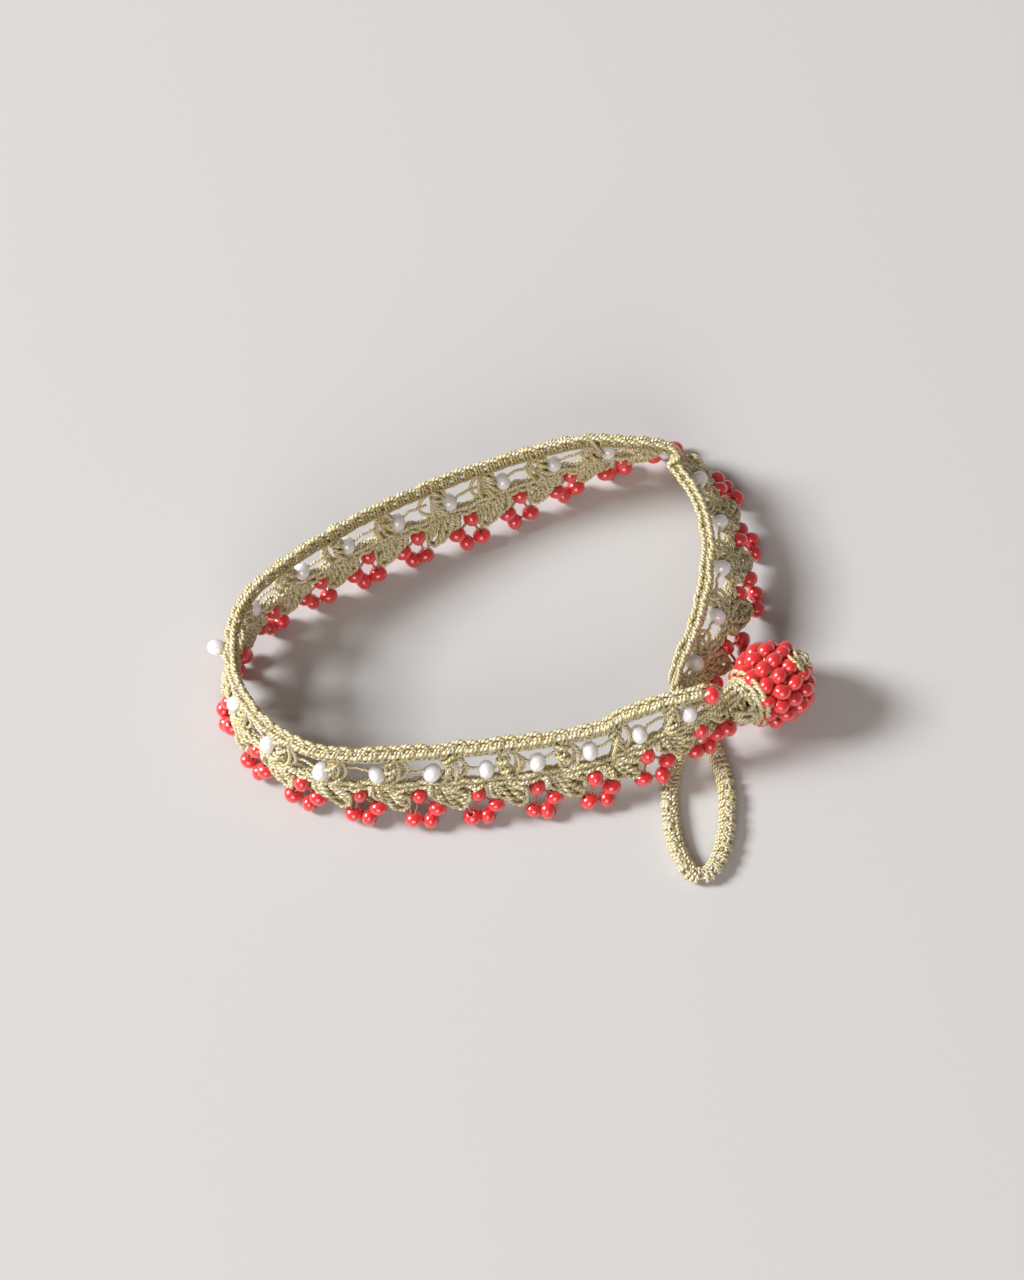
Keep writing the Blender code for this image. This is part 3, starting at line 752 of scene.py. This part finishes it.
# The rings of red beads under the windows. Four beads are strung on one loop of thread, which
# ties to the rail over the top bead and to the scallops on both sides.
ruby = glass_finish(
    "ruby_bead", (0.86, 0.012, 0.020), (0.68, 0.006, 0.014), (0.95, 0.20, 0.18), 0.6, (1.0, 0.25, 0.25)
)
RING = np.array(
    [
        # along as a share of the pitch, up as a share of the ring's height, hole along the band
        (0.09, 1.0, 1.0),
        (-0.23, 0.52, 0.0),
        (-0.09, 0.0, 1.0),
        (0.20, 0.05, 0.0),
    ]
)
ring_s = RING[:, 0] * PITCH + random.normal(0.0, 0.13, (UNITS, 4))
ring_up = RING[:, 1] * RING_HEIGHT + np.abs(random.normal(0.0, 0.12, (UNITS, 4)))
ring_lift = random.normal(0.0, 0.14, (UNITS, 4))
ring_places = (
    unit_low[:, None]
    + band_along[:, None] * ring_s[..., None]
    - band_down[:, None] * ring_up[..., None]
    + band_out[:, None] * ring_lift[..., None]
    + ORIGIN
) * MM
hole_way = RING[:, 2, None] * band_along[:, None] + (1 - RING[:, 2, None]) * band_down[:, None]
hole_way = hole_way + random.normal(0.0, 0.2, hole_way.shape)
ring_mesh = beads_mesh("ring_beads", ring_places.reshape(-1, 3), hole_way.reshape(-1, 3))
ring_beads = add_piece("ring_beads", [ring_mesh], ruby)
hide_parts(*[f"bead_ring_{number + 1:02d}" for number in range(UNITS)])
TIE_RADIUS = 0.17
tie_thread = thread_finish("tie_thread", (0.74, 0.46, 0.30), (0.62, 0.30, 0.18), (0.36, 0.10, 0.06))
closed = np.concatenate([ring_places, ring_places[:, :1]], axis=1)
t = np.linspace(0.0, 4.0, 33)
whole = np.minimum(t.astype(int), 3)
ring_thread = closed[:, whole] + (closed[:, whole + 1] - closed[:, whole]) * (t - whole)[:, None]
tie_t = np.linspace(0.0, 1.0, 7)[:, None]
tie_starts = ring_places[:, [0, 0, 1, 3]]
tie_ends = np.stack(
    [
        strip(unit_at + 1.5, RAIL_DEPTH + 0.1, 0.0),
        strip(unit_at - 0.35, RAIL_DEPTH + 0.1, 0.0),
        strip(unit_at - 1.75, RAIL_DEPTH + 0.25 * SCALLOP_ROOM, 0.0),
        strip(unit_at + 1.80, RAIL_DEPTH + 0.55 * SCALLOP_ROOM, 0.0),
    ],
    axis=1,
)
ties = tie_starts[:, :, None] + (tie_ends - tie_starts)[:, :, None] * tie_t
ring_ties = add_strands("bead_ties", [(ring_thread, TIE_RADIUS, 6), (ties, TIE_RADIUS, 6)], tie_thread)

# The ball button. It is a ball crocheted from the lace's own thread round a solid core and
# covered all over in red beads, with the stitches showing between them.
BALL_RADIUS = 10.3 / 2
STEM_LENGTH = 1.3
STEM_TURN = math.radians(37)
CUP_SPREAD = math.radians(40)
end_high, end_low, end_along, _, _ = (part[0] for part in strip_frame(np.zeros(1)))
joint = (end_high + end_low) / 2 - end_along * 0.3 + ORIGIN
stem_flat = np.array([math.cos(STEM_TURN), math.sin(STEM_TURN), 0.0])
ball_middle = joint + (STEM_LENGTH + BALL_RADIUS) * stem_flat
ball_middle[2] = BALL_RADIUS
stem_way = unit_vectors(joint - ball_middle)
KNOT_WAY = unit_vectors(np.array([0.61, 0.22, 0.76]))
KNOT_SPREAD = 0.30
SEAT = BALL_RADIUS - BEAD_DIAMETER / 2
BALL_BEADS = 64
BEAD_APART = 0.50
PUSH_ROUNDS = 120
# The beads start on a spiral that turns by the golden angle. Then those too near to each other,
# to the stem's cup or to the knot of thread ends push off, round after round.
bead_number = np.arange(BALL_BEADS)
golden = np.pi * (3 - np.sqrt(5)) * bead_number
level = 1 - 2 * (bead_number + 0.5) / BALL_BEADS
level_radius = np.sqrt(1 - level**2)
ball_out = np.stack([level_radius * np.cos(golden), level_radius * np.sin(golden), level], axis=1)
ball_out = unit_vectors(ball_out + random.normal(0.0, 0.10, ball_out.shape))
for _ in range(PUSH_ROUNDS):
    apart = ball_out[:, None] - ball_out[None]
    gap = np.linalg.norm(apart, axis=-1, keepdims=True) + 1e-9
    push = (apart / gap * np.maximum(0.0, BEAD_APART - gap)).sum(axis=1) * 0.3
    for way, spread in ((stem_way, CUP_SPREAD + 0.10), (KNOT_WAY, KNOT_SPREAD)):
        off = ball_out - way
        off_gap = np.linalg.norm(off, axis=-1, keepdims=True)
        push += off / off_gap * np.maximum(0.0, 2 * math.sin(spread / 2) - off_gap) * 0.5
    ball_out = unit_vectors(ball_out + push)
ball_hole = np.cross(ball_out, stem_way) + random.normal(0.0, 0.30, ball_out.shape)
ball_hole = ball_hole - ball_out * (ball_hole * ball_out).sum(-1, keepdims=True) * 0.85
ball_seat = SEAT + random.normal(0.0, 0.10, (BALL_BEADS, 1))
ball_mesh = beads_mesh("ball_beads", (ball_middle + ball_out * ball_seat) * MM, ball_hole)
ball_beads = add_piece("ball_beads", [ball_mesh], ruby)
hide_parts("ball_button")
side_way = unit_vectors(np.cross(stem_way, [0.0, 0.0, 1.0]))
up_way = np.cross(side_way, stem_way)


def on_ball(away, turn, radius):
    """Points in metres at an angle away from the stem, a turn about it and a radius in mm."""
    away, turn, radius = (part[..., None] for part in np.broadcast_arrays(away, turn, radius))
    out = stem_way * np.cos(away) + (side_way * np.cos(turn) + up_way * np.sin(turn)) * np.sin(away)
    return (ball_middle + out * radius) * MM


NET_ROWS = 9
NET_COLUMNS = 16
NET_RADIUS = 3.55
NET_THREAD = 0.22
CORE_RADIUS = 3.5
CORE_ROWS = 14
CORE_SIDES = 20
t = np.linspace(0.0, 1.0, 8)
net_away = np.linspace(0.75, 2.85, NET_ROWS)[:, None, None, None] + 0.30 * t
net_offset = 0.5 * (np.arange(NET_ROWS) % 2)[:, None, None, None]
net_turn = np.arange(NET_COLUMNS)[None, :, None, None] + net_offset
net_turn = (net_turn + np.array([-0.5, 0.5])[:, None] * t) * 2 * np.pi / NET_COLUMNS
net = on_ball(net_away, net_turn, NET_RADIUS + 0.28 * np.sin(np.pi * t))
ball_net = add_strands("ball_threads", [(net, NET_THREAD, 6)], lace_thread)
core_away = np.linspace(0.05, 3.09, CORE_ROWS)
core_turn = 2 * np.pi * np.arange(CORE_SIDES) / CORE_SIDES
core_rings = on_ball(core_away[:, None], core_turn[None], CORE_RADIUS)[None]
core_mesh = sleeve_mesh("ball_core", core_rings, np.linspace(0, 20, CORE_ROWS)[None])
# The core is drawn in the darker olive thread: painted shade in the gaps between the beads.
ball_core = add_piece("ball_core", [core_mesh], painted_shade_core_thread)
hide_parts("ball_button")

# The stem of the ball. The last chains of the band spread into a crocheted cup that holds the
# ball from behind: ribs of thread run up it, and rounds of chain loops run across them.
CUP_RIBS = 9
CUP_START = 0.16
CUP_RIM = 4.35
RIB_THREAD = 0.28
CUP_THREAD = 0.27
CUP_WIDE = 0.48
CUP_HIGH = 0.32
t = np.linspace(0.0, 1.0, 12)
back = np.linalg.norm(joint - ball_middle)
cup_turns = 2 * np.pi * (np.arange(CUP_RIBS) / CUP_RIBS)[:, None, None]
cup_side = np.array([-1.0, 1.0])[None, :, None]
cup_away = CUP_START + (CUP_SPREAD - CUP_START) * t**0.75
cup_radius = CUP_RIM + (back + 0.35 - CUP_RIM) * (1.0 - t) ** 1.6
cup = on_ball(
    cup_away,
    cup_turns + cup_side * (0.15 + 0.9 * t) + random.normal(0.0, 0.12, (CUP_RIBS, 2, 1)),
    cup_radius + 0.12 * cup_side * np.sin(3 * np.pi * t),
)


def cup_chain(away, radius, count):
    """A closed round of chain loops about the stem, at an angle away from it."""

    def on_round(turn, aside, height):
        """Points on that round."""
        return on_ball(away + aside / radius, turn, radius + height)

    return braid(0.0, count, 2 * np.pi / count, CUP_WIDE, CUP_HIGH, on_round)


CUP_ROUNDS = ((0.20, 5.75, 5), (0.36, 5.05, 8), (0.52, 4.75, 10), (0.66, 4.55, 12))
cup_rounds = np.concatenate([cup_chain(*each) for each in CUP_ROUNDS])
stem = add_strands("ball_stem", [(cup, RIB_THREAD, 6), (cup_rounds, CUP_THREAD, 6)], lace_thread)
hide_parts("ball_stem")

# The knot on the far side of the ball. It is the cut ends of the ball's thread, which curl over
# each other in a small tuft.
KNOT_ENDS = 12
KNOT_THREAD = 0.20
t = np.linspace(0.0, 1.0, 14)
knot_side = unit_vectors(np.cross(KNOT_WAY, [0.0, 0.0, 1.0]))
knot_up = np.cross(knot_side, KNOT_WAY)
curl_middle = random.normal(0.0, 0.55, (2, KNOT_ENDS, 1))
curl_start = random.random((KNOT_ENDS, 1))
curl_turn = 2 * np.pi * (curl_start + (0.5 + 0.5 * random.random((KNOT_ENDS, 1))) * t)
curl_wide = 0.40 + 0.30 * random.random((KNOT_ENDS, 1))
curl_high = 4.4 + 0.9 * np.sin(np.pi * t) * (0.3 + 0.7 * random.random((KNOT_ENDS, 1)))
knot = ball_middle + (
    KNOT_WAY * curl_high[..., None]
    + knot_side * (curl_middle[0] + curl_wide * np.cos(curl_turn))[..., None]
    + knot_up * (1.4 * curl_middle[1] + curl_wide * np.sin(curl_turn))[..., None]
)
knot_piece = add_strands("ball_knot", [(knot * MM, KNOT_THREAD, 6)], lace_thread)

# The caught beads. Three red beads sit in the stitches where the stem leaves the band: one on
# top of the cord's end and two lower down, at the foot of the stem.
CAUGHT = np.array([(22.3, -11.8, 10.7), (24.5, -13.4, 5.2), (26.3, -11.4, 3.4)])
CAUGHT_HOLES = np.array([(1.0, 0.4, -0.3), (0.3, 0.2, 1.0), (0.2, 1.0, 0.1)])
caught_mesh = beads_mesh("caught_beads", (CAUGHT + ORIGIN) * MM, CAUGHT_HOLES)
caught = add_piece("caught_beads", [caught_mesh], ruby)

# The button loop. A closed loop of thread lies flat on the table and is covered all along:
# smooth wraps over its inner side, and a knotted braid round its outer side.
LOOP_LENGTH = 19.6
LOOP_WIDTH = 8.2
STRAND_WIDTH = 1.9
LOOP_TAPER = 0.4
loop_low, loop_high = (np.array(corner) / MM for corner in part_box("button_loop"))
neck = np.array([(loop_low[0] + loop_high[0]) / 2, loop_high[1] - STRAND_WIDTH / 2])
loop_turn = np.linspace(0.0, 2 * np.pi, 401)
drawn_in = LOOP_TAPER * np.maximum(np.cos(loop_turn), 0.0) ** 2
loop_x = neck[0] + (LOOP_WIDTH - STRAND_WIDTH) / 2 * np.sin(loop_turn) * (1.0 - drawn_in)
loop_y = neck[1] - (LOOP_LENGTH - STRAND_WIDTH) * (1 - np.cos(loop_turn)) / 2
loop_walk = np.concatenate([[0.0], np.cumsum(np.hypot(np.diff(loop_x), np.diff(loop_y)))])
LOOP_RUN = loop_walk[-1]
loop_dx = np.gradient(loop_x, loop_walk)
loop_dy = np.gradient(loop_y, loop_walk)


def on_loop(distance, outward, up):
    """Points in metres at a distance round the loop, outward of its strand's middle and up."""
    distance, outward, up = np.broadcast_arrays(distance, outward, up)
    at = distance % LOOP_RUN
    dx = np.interp(at, loop_walk, loop_dx)
    dy = np.interp(at, loop_walk, loop_dy)
    size = np.hypot(dx, dy)
    x = np.interp(at, loop_walk, loop_x) - dy / size * outward
    y = np.interp(at, loop_walk, loop_y) + dx / size * outward
    return np.stack([x, y, up + 0.0 * x], axis=-1) * MM


WRAP_STEP = 0.46
KNOT_STEP = 1.25
STRAND_MIDDLE = 0.74
LOOP_WRAP_THREAD = 0.22
LOOP_KNOT_THREAD = 0.24
LOOP_CHAIN_THREAD = 0.20
LOOP_CORE_RADIUS = 0.58
wrap_count = int(LOOP_RUN / WRAP_STEP)
wrap_at = (np.arange(wrap_count) * LOOP_RUN / wrap_count)[:, None]
wrap_at = wrap_at + random.normal(0.0, 0.04, (wrap_count, 1))
wrap_angle = np.radians(-70 + 320 * np.linspace(0.0, 1.0, 14))
wrap_reach = 1.0 + random.normal(0.0, 0.05, (wrap_count, 1))
loop_wraps = on_loop(
    wrap_at + 0.25 * np.cos(wrap_angle),
    -0.22 - 0.50 * wrap_reach * np.cos(wrap_angle),
    STRAND_MIDDLE + 0.52 * wrap_reach * np.sin(wrap_angle),
)
knot_count = int(LOOP_RUN / KNOT_STEP)
knot_step = LOOP_RUN / knot_count
t = np.linspace(0.0, 1.0, 10)
knot_at = knot_step * np.arange(knot_count)[:, None, None]
knot_lean = np.array([-0.26, 0.02, 0.26])[None, :, None] * (0.5 + 0.6 * np.sin(np.pi * t))
knot_drift = random.normal(0.0, 0.09, (knot_count, 3, 1))
knot_angle = np.radians(135 - 195 * t)
knot_reach = (0.52 + 0.24 * np.sin(np.pi * t)) * (1.0 + knot_drift)
loop_knots = on_loop(
    knot_at + knot_lean + knot_drift + 0.3 * (t - 0.5),
    0.24 + knot_reach * np.cos(knot_angle),
    STRAND_MIDDLE + 0.9 * knot_reach * np.sin(knot_angle),
)


def on_loop_top(distance, aside, height):
    """Points in metres on top of the loop's strand, a little outward of its middle."""
    return on_loop(distance, 0.30 + aside, 1.14 + height)


loop_chain = braid(0.6, knot_count, knot_step, 0.24, 0.20, on_loop_top)
loop_threads = add_strands(
    "loop_threads",
    [
        (loop_wraps, LOOP_WRAP_THREAD, 6),
        (loop_knots, LOOP_KNOT_THREAD, 6),
        (loop_chain, LOOP_CHAIN_THREAD, 6),
    ],
    lace_thread,
)
core_path = on_loop(np.linspace(0, LOOP_RUN, 160), 0.08, 0.76)[None]
# The loop's core is drawn in the darker olive thread: painted shade under its wraps.
loop_core = add_strands("loop_core", [(core_path, LOOP_CORE_RADIUS, 10)], painted_shade_core_thread)
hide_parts("button_loop")
